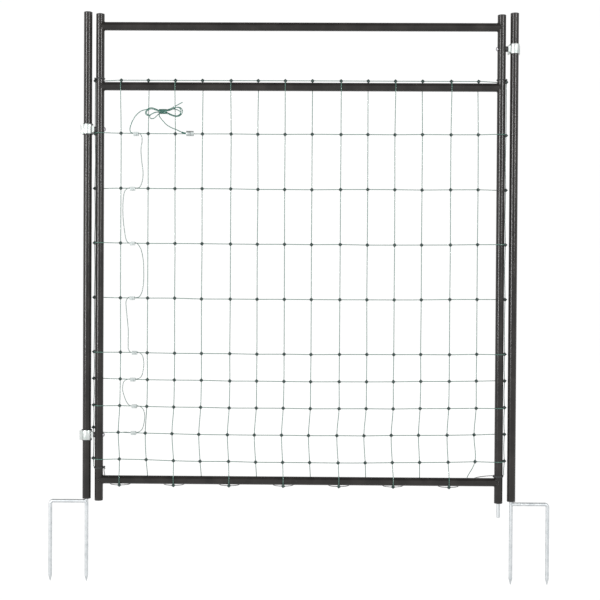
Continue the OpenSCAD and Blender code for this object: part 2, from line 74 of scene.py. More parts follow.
class Value:
    """A shader socket that takes part in Python arithmetic; each operation adds its own Math node."""

    def __init__(self, graph: "Graph", socket: bpy.types.NodeSocket) -> None:
        """Wraps a node's output.

        Args:
            graph: The material's graph.
            socket: The output socket.
        """
        self.graph = graph
        self.socket = socket

    def _math(self, operation: str, a: "Value | float", b: "Value | float") -> "Value":
        """Result of one Math node on two operands."""
        return self.graph.node("ShaderNodeMath", {"operation": operation}, {0: a, 1: b})

    def __add__(self, other: "Value | float") -> "Value":
        """self + other"""
        return self._math("ADD", self, other)

    def __radd__(self, other: float) -> "Value":
        """other + self"""
        return self._math("ADD", other, self)

    def __mul__(self, other: "Value | float") -> "Value":
        """self * other"""
        return self._math("MULTIPLY", self, other)

    def __rmul__(self, other: float) -> "Value":
        """other * self"""
        return self._math("MULTIPLY", other, self)


class Graph:
    """The node tree of one material, around a Principled shader."""

    def __init__(self, name: str) -> None:
        """Makes an empty material.

        Args:
            name: The material's name.
        """
        self.material = bpy.data.materials.new(name)
        self.material.use_nodes = True
        self.tree = self.material.node_tree
        self.shader = self.tree.nodes["Principled BSDF"]
        self.place = self.node("ShaderNodeTexCoord", {}, {}, "Object")

    def node(
        self, kind: str, settings: Mapping[str, Any], values: Mapping[int | str, Any], output: int | str = 0
    ) -> Value:
        """Adds any node.

        Args:
            kind: The node's type name.
            settings: Its properties, which are set first.
            values: A number, vector or linked Value for each input socket, by index or name.
            output: Which output to return.

        Returns:
            The chosen output.
        """
        made = self.tree.nodes.new(kind)
        for key, setting in settings.items():
            setattr(made, key, setting)
        for key, value in values.items():
            self._feed(made.inputs[key], value)
        return Value(self, made.outputs[output])

    def _feed(self, target: bpy.types.NodeSocket, value: Any) -> None:
        """Feeds one input socket.

        Args:
            target: The socket.
            value: A Value to link, or the number, vector or colour to set on the socket itself.
        """
        if isinstance(value, Value):
            self.tree.links.new(value.socket, target)
        elif isinstance(value, tuple) and len(value) == 3 and target.type == "RGBA":
            target.default_value = (*value, 1)
        else:
            target.default_value = value

    def noise(self, scale: float, stretch: Color = (1, 1, 1), detail: float = 3) -> Value:
        """Noise from 0 to 1.

        Args:
            scale: Features per metre, roughly.
            stretch: Factors on the coordinates; a small one draws the noise out along that axis.
            detail: Octaves.

        Returns:
            The noise's value.
        """
        place = self.place
        if stretch != (1, 1, 1):
            place = self.node("ShaderNodeVectorMath", {"operation": "MULTIPLY"}, {0: self.place, 1: stretch})
        return self.node(
            "ShaderNodeTexNoise", {}, {"Vector": place, "Scale": scale, "Detail": detail, "Roughness": 0.55}
        )

    def mix(self, share: Value | float, first: Any, second: Any) -> Value:
        """Blends two colours, from the first at share 0 to the second at share 1."""
        return self.node("ShaderNodeMix", {"data_type": "RGBA"}, {0: share, 6: first, 7: second}, 2)

    def ramp(self, value: Value, low: float, high: float) -> Value:
        """Maps a value to 0 below low, 1 above high, and evenly in between."""
        values = {"Value": value, "From Min": low, "From Max": high}
        return self.node("ShaderNodeMapRange", {"clamp": True}, values)

    def relief(self, height: Value, depth: float, strength: float) -> Value:
        """Makes a bump of that depth in metres."""
        return self.node(
            "ShaderNodeBump", {}, {"Height": height, "Distance": depth, "Strength": strength}, "Normal"
        )

    def dress(self, **sockets: Any) -> bpy.types.Material:
        """Finishes the material.

        Args:
            sockets: What feeds each socket of the Principled shader, with _ for a space in its name.

        Returns:
            The material.
        """
        for name, value in sockets.items():
            self._feed(self.shader.inputs[name.replace("_", " ")], value)
        return self.material


# ---- finishes ----


@dataclass(frozen=True)
class PowderCoat:
    """Near-black satin powder coat on steel tube, with orange peel, dust and a few rubbed marks.

    Scales are features per metre, and edges are the noise values between which a mark fades in.
    """

    name: str = "tube_powder_coat"
    coat: Color = (0.0080, 0.0068, 0.0062)
    dusty: Color = (0.018, 0.0155, 0.0140)
    rubbed: Color = (0.050, 0.048, 0.045)
    gloss: float = 0.15
    specular: float = 0.36
    dust_scale: float = 22
    dust_edges: tuple[float, float] = (0.42, 0.72)
    scuff_scale: float = 420
    scuff_stretch: Color = (0.12, 0.12, 0.05)
    scuff_edges: tuple[float, float] = (0.70, 0.78)
    cloud_scale: float = 160
    peel_scale: float = 1500
    wave_scale: float = 420
    peel_depth: float = 0.06 * MM

    def make(self) -> bpy.types.Material:
        """Builds the material."""
        g = Graph(self.name)
        dust = g.ramp(g.noise(self.dust_scale, detail=5), *self.dust_edges)
        scuff = g.ramp(g.noise(self.scuff_scale, self.scuff_stretch, 4), *self.scuff_edges)
        color = g.mix(dust, self.coat, self.dusty)
        color = g.mix(scuff * 0.35, color, self.rubbed)
        roughness = self.gloss + dust * 0.10 + g.noise(self.cloud_scale) * 0.06
        peel = g.noise(self.peel_scale, detail=2) + g.noise(self.wave_scale, detail=1) * 0.6
        return g.dress(
            Base_Color=color,
            Roughness=roughness,
            Normal=g.relief(peel, self.peel_depth, 0.5),
            Specular_IOR_Level=self.specular,
        )


@dataclass(frozen=True)
class MouldedPlastic:
    """Moulded plastic with a fine spark-eroded texture and slight flow marks."""

    name: str
    color: Color
    worn: Color
    gloss: float = 0.42
    grain_scale: float = 2600
    flow_scale: float = 300
    wear_scale: float = 120
    wear_edges: tuple[float, float] = (0.45, 0.75)
    grain_depth: float = 0.03 * MM
    specular: float = 0.4

    def make(self) -> bpy.types.Material:
        """Builds the material."""
        g = Graph(self.name)
        wear = g.ramp(g.noise(self.wear_scale, detail=4), *self.wear_edges)
        grain = g.noise(self.grain_scale, detail=1)
        return g.dress(
            Base_Color=g.mix(wear, self.color, self.worn),
            Roughness=self.gloss + grain * 0.08 + wear * 0.08,
            Normal=g.relief(grain + g.noise(self.flow_scale) * 0.5, self.grain_depth, 0.5),
            Specular_IOR_Level=self.specular,
        )


@dataclass(frozen=True)
class Galvanised:
    """Zinc on steel: crystal spangle, drawn streaks along the rod and dull patches."""

    name: str
    bright: Color = (0.62, 0.64, 0.65)
    dull: Color = (0.30, 0.33, 0.35)
    spangle: float = 210
    roughness: float = 0.30
    metallic: float = 0.9
    streak_stretch: Color = (1, 1, 0.04)
    streak_scale: float = 900
    streak_edges: tuple[float, float] = (0.62, 0.80)
    patch_scale: float = 60
    patch_edges: tuple[float, float] = (0.40, 0.74)
    pit_scale: float = 1800
    pit_depth: float = 0.05 * MM

    def make(self) -> bpy.types.Material:
        """Builds the material."""
        g = Graph(self.name)
        crystals = g.node("ShaderNodeTexVoronoi", {}, {"Vector": g.place, "Scale": self.spangle}, "Color")
        crystal = g.node("ShaderNodeSeparateColor", {}, {0: crystals}, 0)
        patch = g.ramp(g.noise(self.patch_scale, detail=5), *self.patch_edges)
        streaks = g.noise(self.streak_scale, self.streak_stretch, 3)
        color = g.mix(patch * 0.45 + crystal * 0.22, self.bright, self.dull)
        color = g.mix(g.ramp(streaks, *self.streak_edges) * 0.35, color, self.dull)
        return g.dress(
            Base_Color=color,
            Metallic=self.metallic,
            Roughness=self.roughness + crystal * 0.12 + patch * 0.14,
            Normal=g.relief(streaks + g.noise(self.pit_scale, detail=1) * 0.4, self.pit_depth, 0.6),
        )


@dataclass(frozen=True)
class Fibre:
    """A drawn polymer filament, a little paler where its lay is rubbed."""

    name: str
    color: Color
    pale: Color
    gloss: float = 0.45
    sheen: float = 0.12
    rub_scale: float = 260
    rub_edges: tuple[float, float] = (0.38, 0.72)
    hair_scale: float = 5200
    hair_stretch: Color = (1, 1, 0.35)
    hair_depth: float = 0.05 * MM

    def make(self) -> bpy.types.Material:
        """Builds the material."""
        g = Graph(self.name)
        rub = g.ramp(g.noise(self.rub_scale, detail=4), *self.rub_edges)
        hair = g.noise(self.hair_scale, self.hair_stretch, 2)
        return g.dress(
            Base_Color=g.mix(rub * 0.7 + hair * 0.2, self.color, self.pale),
            Roughness=self.gloss + hair * 0.12,
            Normal=g.relief(hair, self.hair_depth, 0.6),
            Sheen_Weight=self.sheen,
        )


@dataclass(frozen=True)
class Finishes:
    """Every material of the gate, made once."""

    coat: bpy.types.Material
    plastic: bpy.types.Material
    knot: bpy.types.Material
    rod: bpy.types.Material
    clip: bpy.types.Material
    bolt: bpy.types.Material
    clamp: bpy.types.Material
    wire: bpy.types.Material
    twine: bpy.types.Material
    feed: bpy.types.Material
    lead: bpy.types.Material
    tie: bpy.types.Material

    @classmethod
    def make(cls) -> "Finishes":
        """Builds all the materials."""
        return cls(
            coat=PowderCoat().make(),
            plastic=MouldedPlastic("black_cap_plastic", (0.020, 0.020, 0.021), (0.045, 0.044, 0.044)).make(),
            knot=MouldedPlastic(
                "knot_plastic", (0.012, 0.030, 0.026), (0.030, 0.055, 0.048), 0.36, 3400
            ).make(),
            rod=Galvanised("galvanised_rod").make(),
            clip=Galvanised(
                "clip_zinc_plate", (0.61, 0.63, 0.62), (0.25, 0.31, 0.29), 330, 0.28, 0.92, (0.05, 0.05, 1)
            ).make(),
            bolt=Galvanised(
                "bolt_zinc_plate", (0.42, 0.41, 0.43), (0.24, 0.23, 0.25), 700, 0.28, 0.95
            ).make(),
            clamp=Galvanised(
                "line_clamp_zinc", (0.52, 0.56, 0.55), (0.16, 0.19, 0.19), 420, 0.28, 0.9
            ).make(),
            wire=Galvanised("conductor_wire", (0.52, 0.56, 0.54), (0.30, 0.35, 0.33), 1200, 0.25, 1.0).make(),
            twine=Fibre("net_twine", (0.024, 0.092, 0.068), (0.055, 0.165, 0.125)).make(),
            feed=Fibre("feed_cord_twine", (0.004, 0.080, 0.056), (0.014, 0.170, 0.122), 0.40, 0.12).make(),
            lead=Fibre("jumper_twine", (0.085, 0.135, 0.120), (0.160, 0.230, 0.205)).make(),
            tie=Fibre("black_tie_cord", (0.016, 0.018, 0.018), (0.040, 0.044, 0.043)).make(),
        )


# ---- mesh helpers ----


def smooth_line(points: Sequence[Vector], step: float) -> list[Vector]:
    """Points about a step apart on a smooth curve through the given ones.

    Args:
        points: At least two points that the curve passes through.
        step: Spacing along the curve, in metres.

    Returns:
        The dense points, both ends included.
    """
    ends = [2 * points[0] - points[1], *points, 2 * points[-1] - points[-2]]
    dense: list[Vector] = []
    for a, b, c, d in zip(ends, ends[1:], ends[2:], ends[3:]):
        turns = max(2, math.ceil((c - b).length / step * 3))
        dense += [catmull_rom(a, b, c, d, k / turns) for k in range(turns)]
    dense.append(points[-1].copy())
    return evenly(dense, step)


def catmull_rom(a: Vector, b: Vector, c: Vector, d: Vector, t: float) -> Vector:
    """A point on the centripetal curve through four points.

    Args:
        a: The point before the stretch.
        b: The stretch's first point.
        c: The stretch's last point.
        d: The point after the stretch.
        t: How far along, 0 at b and 1 at c.

    Returns:
        The point.
    """
    knots = [0.0]
    for p, q in ((a, b), (b, c), (c, d)):
        knots.append(knots[-1] + max((q - p).length, 1e-7) ** 0.5)
    t0, t1, t2, t3 = knots
    at = t1 + t * (t2 - t1)
    ab = a.lerp(b, (at - t0) / (t1 - t0))
    bc = b.lerp(c, (at - t1) / (t2 - t1))
    cd = c.lerp(d, (at - t2) / (t3 - t2))
    abc = ab.lerp(bc, (at - t0) / (t2 - t0))
    bcd = bc.lerp(cd, (at - t1) / (t3 - t1))
    return abc.lerp(bcd, (at - t1) / (t2 - t1))


def evenly(line: Sequence[Vector], step: float) -> list[Vector]:
    """Spaces the points of a line evenly.

    Args:
        line: The points.
        step: The spacing wanted, in metres.

    Returns:
        The new points, both ends included.
    """
    along = [0.0]
    for p, q in zip(line, line[1:]):
        along.append(along[-1] + (q - p).length)
    count = max(2, round(along[-1] / step))
    found, i = [], 0
    for k in range(count + 1):
        at = along[-1] * k / count
        while i < len(line) - 2 and along[i + 1] < at:
            i += 1
        span = max(along[i + 1] - along[i], 1e-9)
        found.append(line[i].lerp(line[i + 1], (at - along[i]) / span))
    return found


def length_of(line: Sequence[Vector]) -> float:
    """Length of a line of points."""
    return sum((q - p).length for p, q in zip(line, line[1:]))


class MeshMaker:
    """Gathers vertices and faces, then makes one object of them."""

    def __init__(self) -> None:
        """Starts empty."""
        self.points: list[Vector] = []
        self.faces: list[tuple[int, ...]] = []
        self.kinds: list[int] = []

    def ring(self, points: Iterable[Vector]) -> list[int]:
        """Adds points and returns their numbers."""
        first = len(self.points)
        self.points.extend(points)
        return list(range(first, len(self.points)))

    def bridge(self, low: Sequence[int], high: Sequence[int], kinds: Sequence[int] | None = None) -> None:
        """Joins two rings of equal size with quads.

        Args:
            low: Point numbers of the first ring.
            high: Point numbers of the second ring.
            kinds: Material number of each quad, or None for 0.
        """
        n = len(low)
        for k in range(n):
            j = (k + 1) % n
            self.faces.append((low[k], low[j], high[j], high[k]))
            self.kinds.append(kinds[k] if kinds else 0)

    def lid(self, ring: Sequence[int], flip: bool) -> None:
        """Closes a ring with a fan round its middle.

        Args:
            ring: Its point numbers.
            flip: Whether the fan faces against the ring's turn.
        """
        middle = self.ring([sum((self.points[i] for i in ring), Vector()) / len(ring)])[0]
        for k, a in enumerate(ring):
            b = ring[(k + 1) % len(ring)]
            self.faces.append((b, a, middle) if flip else (a, b, middle))
            self.kinds.append(0)

    def loft(self, rings: Sequence[Sequence[Vector]], kinds: Sequence[int] | None = None) -> None:
        """Adds a closed tube.

        Args:
            rings: The points of each ring, in order; the first and last get a lid.
            kinds: Material number of each side, or None for 0.
        """
        numbers = [self.ring(r) for r in rings]
        for low, high in zip(numbers, numbers[1:]):
            self.bridge(low, high, kinds)
        self.lid(numbers[0], True)
        self.lid(numbers[-1], False)

    def object(self, name: str, materials: Sequence[bpy.types.Material]) -> bpy.types.Object:
        """Makes the smooth-shaded object.

        Args:
            name: Its name.
            materials: Its materials, in the order of their numbers.

        Returns:
            The object, linked to the scene.
        """
        mesh = bpy.data.meshes.new(name)
        mesh.from_pydata([tuple(p) for p in self.points], [], self.faces)
        for material in materials:
            mesh.materials.append(material)
        mesh.polygons.foreach_set("material_index", self.kinds)
        mesh.polygons.foreach_set("use_smooth", [True] * len(self.faces))
        mesh.update()
        made = bpy.data.objects.new(name, mesh)
        bpy.context.scene.collection.objects.link(made)
        return made


def frames_along(line: Sequence[Vector]) -> list[tuple[Vector, Vector, Vector]]:
    """Directions along a line, carried along without twist.

    Args:
        line: At least two points.

    Returns:
        For each point, the direction ahead and two directions across it.
    """
    found = []
    start = (line[1] - line[0]).normalized()
    side = start.cross(UP if abs(start.z) < 0.9 else Vector((0, 1, 0))).normalized()
    for i in range(len(line)):
        ahead = (line[min(i + 1, len(line) - 1)] - line[max(i - 1, 0)]).normalized()
        side = (side - ahead * side.dot(ahead)).normalized()
        found.append((ahead, side, ahead.cross(side)))
    return found


@dataclass(frozen=True)
class Lay:
    """How a cord is twisted: three filaments with a thin wire in each groove.

    Sizes are in metres, and the offsets are shares of the cord's radius.
    """

    radius: float
    turn: float = 16 * MM
    step: float = 2 * MM
    groove: float = 0.70
    wires: bool = True
    pinch: float = 0.86

    def section(self) -> tuple[list[tuple[float, float]], list[int]]:
        """The cross-section.

        Returns:
            The (angle, radius) of each corner, and each side's material number: 0 filament, 1 wire.
        """
        corners, kinds = [], []
        for strand in range(3):
            middle = strand * math.tau / 3
            for degrees, share in ((-36, 0.93), (0, 1.0), (36, 0.93), (52, self.groove), (68, self.groove)):
                corners.append((middle + math.radians(degrees), share * self.radius))
            kinds += [0, 0, 0, 1 if self.wires else 0, 0]
        return corners, kinds

    def add(self, maker: MeshMaker, line: Sequence[Vector], phase: float = 0) -> None:
        """Adds the twisted cord, its ends drawn in a little.

        Args:
            maker: Where the mesh is gathered.
            line: Dense points along the cord's middle.
            phase: How far the lay is turned at the start, in radians.
        """
        corners, kinds = self.section()
        rings, along = [], 0.0
        last = len(line) - 1
        for i, (p, (_, side, top)) in enumerate(zip(line, frames_along(line))):
            along += (p - line[i - 1]).length if i else 0
            twist = phase + math.tau * along / self.turn
            pinch = self.pinch if i in (0, last) else 1
            rings.append(
                [p + (side * math.cos(a + twist) + top * math.sin(a + twist)) * r * pinch for a, r in corners]
            )
        maker.loft(rings, kinds)


def box_of(node: str) -> tuple[Vector, Vector]:
    """Lowest and highest corner of a CAD node."""
    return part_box(node)


def middle_of(node: str) -> Vector:
    """Middle of a CAD node's box."""
    low, high = box_of(node)
    return (low + high) / 2


def settle(piece: bpy.types.Object, body: Body, slot: str, *nodes: str) -> bpy.types.Object:
    """Settles a new piece in the frame.

    Args:
        piece: The piece.
        body: The body that it rides on.
        slot: Not used.
        nodes: The CAD nodes that it stands for.

    Returns:
        The piece.
    """
    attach(piece, body.value)
    if nodes:
        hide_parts(*nodes)
    LOG.info("piece %s on %s", piece.name, body.value)
    return piece


def dress_node(node: str, material: bpy.types.Material, edge: float = 0) -> None:
    """Finishes a CAD node.

    Args:
        node: Its name.
        material: Its material.
        edge: Width of its softly broken edges in metres, or 0 to leave them sharp.
    """
    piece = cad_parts[node]
    piece.data.materials.clear()
    piece.data.materials.append(material)
    if edge:
        weld = piece.modifiers.new("weld", "WELD")
        weld.merge_threshold = 0.005 * MM
        bevel = piece.modifiers.new("broken_edges", "BEVEL")
        bevel.width = edge
        bevel.segments = 3
        bevel.limit_method = "ANGLE"
        bevel.angle_limit = math.radians(35)
        bevel.harden_normals = True
    LOG.info("dressed %s", node)


# ---- sub-assemblies ----


@dataclass
class Stage:
    """Camera, pale cove and studio light.

    Lengths are in metres and turns in radians; cove_bend is the share of the cove's radius that curves up.
    """

    eye: Vector = field(default_factory=lambda: Vector((0.6172, -3.0, 0.5961)))
    yaw: float = 0.01084
    pitch: float = -0.01141
    roll: float = 0.0057
    lens: float = 65.63
    floor_drop: float = 0.4 * MM
    middle_x: float = 0.6
    lit_x: float = 0.58
    cove_r: float = 11.0
    cove_h: float = 8.0
    cove_bend: float = 0.3
    cove_sides: int = 96
    paper_glow: float = 0.91
    surround: float = 0.40

    def build(self) -> None:
        """Makes the camera, the cove and the lights."""
        self.add_camera()
        self.add_cove()
        self.add_lights()

    def add_camera(self) -> None:
        """Adds the camera in front of the leaf, turned by yaw, pitch and roll."""
        across = Vector((math.cos(self.yaw), math.sin(self.yaw), 0))
        ahead = Vector((-math.sin(self.yaw), math.cos(self.yaw), 0)) * math.cos(self.pitch)
        ahead += UP * math.sin(self.pitch)
        up = across.cross(ahead)
        c, s = math.cos(self.roll), math.sin(self.roll)
        axes = (across * c + up * s, up * c - across * s, -ahead)
        data = bpy.data.cameras.new("camera")
        data.lens = self.lens
        camera = bpy.data.objects.new("camera", data)
        camera.matrix_world = Matrix.Translation(self.eye) @ Matrix(axes).transposed().to_4x4()
        bpy.context.scene.collection.objects.link(camera)
        bpy.context.scene.camera = camera

    def add_cove(self) -> None:
        """Adds the pale round floor that curves up into a wall far away on every side."""
        ground = box_of("hinge_main_prong")[0].z - self.floor_drop
        middle, bend = Vector((self.middle_x, 0, ground)), self.cove_r * self.cove_bend
        profile = [(0.4, 0.0), (2.0, 0.0), (self.cove_r - bend, 0.0)]
        for degrees in range(6, 91, 6):
            a = math.radians(degrees)
            profile.append((self.cove_r - bend * (1 - math.sin(a)), bend * (1 - math.cos(a))))
        profile.append((self.cove_r, self.cove_h))
        maker = MeshMaker()
        turns = [math.tau * k / self.cove_sides for k in range(self.cove_sides)]
        rings = []
        for r, z in profile:
            rings.append(maker.ring(middle + Vector((r * math.cos(t), r * math.sin(t), z)) for t in turns))
        for low, high in zip(rings, rings[1:]):
            maker.bridge(high, low)
        maker.lid(rings[0], False)
        g = Graph("studio_paper")
        tone = g.mix(g.noise(3), (0.10, 0.10, 0.10), (0.12, 0.12, 0.12))
        paper = g.dress(
            Base_Color=tone, Roughness=0.95, Emission_Color=(1, 1, 1), Emission_Strength=self.paper_glow
        )
        maker.object("studio_floor", [paper])

    def add_lights(self) -> None:
        """Adds even white surroundings and two upright strip softboxes, the stronger one on the left."""
        world = bpy.data.worlds.new("studio")
        world.use_nodes = True
        sky = world.node_tree.nodes["Background"]
        sky.inputs["Color"].default_value = (1, 1, 1, 1)
        sky.inputs["Strength"].default_value = self.surround
        bpy.context.scene.world = world
        bpy.context.scene.view_settings.view_transform = "Standard"
        self.add_softbox("key", Vector((-2.2, -3.0, 1.4)), (0.45, 2.4), 125)
        self.add_softbox("fill", Vector((2.9, -3.3, 1.8)), (0.45, 1.6), 68)

    def add_softbox(self, name: str, place: Vector, size: tuple[float, float], power: float) -> None:
        """Adds a rectangular light that faces the middle of the leaf.

        Args:
            name: Its name.
            place: Its middle.
            size: Its width and height in metres.
            power: Its power in watts.
        """
        data = bpy.data.lights.new(name, "AREA")
        data.shape = "RECTANGLE"
        data.size, data.size_y = size
        data.energy = power
        lamp = bpy.data.objects.new(name, data)
        lamp.location = place
        target = Vector((self.lit_x, 0, place.z))
        lamp.rotation_euler = (target - place).to_track_quat("-Z", "Y").to_euler()
        bpy.context.scene.collection.objects.link(lamp)


@dataclass
class Tubework:
    """Coated tubes of the posts and the leaf, their caps, and the weld beads of the rails."""

    finishes: Finishes
    tube_r: float = 11.5 * MM
    bead_r: float = 1.5 * MM
    ripple: float = 0.28
    ripple_length: float = 2.6 * MM
    cap_edge: float = 0.35 * MM

    TUBES = (
        "hinge_post", "latch_post", "hinge_stile", "latch_stile", "top_rail", "middle_rail", "bottom_rail",
    )
    RAILS = ("top_rail", "middle_rail", "bottom_rail")

    def build(self) -> None:
        """Dresses the tubes and caps, and adds the welds."""
        for node in self.TUBES:
            dress_node(node, self.finishes.coat)
        for post in ("hinge_post", "latch_post", "hinge_stile", "latch_stile"):
            dress_node(f"{post}_cap", self.finishes.plastic, self.cap_edge)
            dress_node(f"{post}_plug", self.finishes.plastic, self.cap_edge)
        maker = MeshMaker()
        for number, rail in enumerate(self.RAILS):
            for side in Side:
                self.weld(maker, rail, side, number)
        settle(maker.object("rail_welds", [self.finishes.coat]), Body.LEAF, "tube_coating")

    def weld(self, maker: MeshMaker, rail: str, side: Side, number: int) -> None:
        """Adds the bead round one end of a rail, where its surface meets the stile's.

        Args:
            maker: Where the mesh is gathered.
            rail: The rail's node.
            side: Which end.
            number: The rail's number, which seeds the bead's unevenness.
        """
        stile = middle_of("hinge_stile" if side is Side.HINGE else "latch_stile")
        rail_z = middle_of(rail).z
        line = bead_line(Vector((stile.x, stile.y, rail_z)), self.tube_r, self.tube_r, -side.value)
        bead(maker, line, self.bead_r, self.ripple, self.ripple_length, number * 2 + side.value)


def bead_line(joint: Vector, bar_r: float, post_r: float, way: int) -> list[Vector]:
    """The closed line where a bar along X meets an upright post.

    Args:
        joint: Where the two axes cross.
        bar_r: The bar's radius.
        post_r: The post's radius.
        way: 1 if the bar leaves towards +X, else -1.

    Returns:
        Evenly turned points round the bar.
    """
    line, count = [], 96
    for k in range(count):
        a = math.tau * k / count
        y, z = bar_r * math.sin(a), bar_r * math.cos(a)
        line.append(joint + Vector((way * math.sqrt(max(post_r**2 - y**2, 0)), y, z)))
    return line


def bead(
    maker: MeshMaker, line: Sequence[Vector], radius: float, ripple: float, pitch: float, seed: int
) -> None:
    """Adds a scalloped weld bead along a closed line.

    Args:
        maker: Where the mesh is gathered.
        line: The line's points.
        radius: The bead's radius in metres.
        ripple: Depth of the scallops, as a share of the radius.
        pitch: Length of a scallop in metres.
        seed: Seed of its unevenness.
    """
    chance = random.Random(seed)
    n, along, rings = len(line), 0.0, []
    for i, p in enumerate(line):
        ahead = (line[(i + 1) % n] - line[i - 1]).normalized()
        along += (p - line[i - 1]).length if i else 0
        side = ahead.cross(UP)
        side = side.normalized() if side.length > 0.2 else ahead.cross(Vector((1, 0, 0))).normalized()
        top = ahead.cross(side)
        wave = 0.5 + 0.5 * math.cos(math.tau * along / pitch)
        r = radius * (1 - ripple * wave + 0.10 * chance.random())
        turns = [math.tau * k / 8 for k in range(8)]
        rings.append(maker.ring(p + (side * math.cos(a) + top * math.sin(a)) * r for a in turns))
    for i in range(n):
        maker.bridge(rings[i - 1], rings[i])


@dataclass
class Forks:
    """Galvanised double prongs under the posts, welded at the tread, and the leaf's ground pin."""

    finishes: Finishes
    rod_r: float = 5 * MM
    bead_r: float = 1.3 * MM
    ripple: float = 0.3
    ripple_length: float = 2.2 * MM

    def build(self) -> None:
        """Dresses the rods and adds the tread welds."""
        maker = MeshMaker()
        for post, way in (("hinge", -1), ("latch", 1)):
            dress_node(f"{post}_main_prong", self.finishes.rod)
            dress_node(f"{post}_side_prong", self.finishes.rod)
            axis = middle_of(f"{post}_main_prong")
            joint = Vector((axis.x, axis.y, self.rod_r))
            line = bead_line(joint, self.rod_r, self.rod_r, way)
            bead(maker, line, self.bead_r, self.ripple, self.ripple_length, way)
        dress_node("ground_pin", self.finishes.rod)
        settle(maker.object("tread_welds", [self.finishes.rod]), Body.POSTS, "galvanised_rod")


@dataclass
class Hardware:
    """Clips, bushes, bolts, spacers and line clamps, with the widths of their broken edges."""

    finishes: Finishes
    clip_edge: float = 0.3 * MM
    bush_edge: float = 0.25 * MM
    clamp_edge: float = 0.5 * MM
    clamp_body_edge: float = 0.9 * MM

    def build(self) -> None:
        """Dresses the CAD nodes and breaks their edges."""
        for clip in ("upper_hinge_clip", "lower_hinge_clip", "latch_clip"):
            dress_node(clip, self.finishes.clip, self.clip_edge)
        for bush in ("upper_hinge_bush", "lower_hinge_bush", "saddle_spacers"):
            dress_node(bush, self.finishes.plastic, self.bush_edge)
        dress_node("clip_bolts", self.finishes.bolt)
        dress_node("clamp_bodies", self.finishes.clamp, self.clamp_body_edge)
        for clamp in ("clamp_plates", "clamp_screws", "feed_clamp_body", "feed_clamp_nut"):
            dress_node(clamp, self.finishes.clamp, self.clamp_edge)


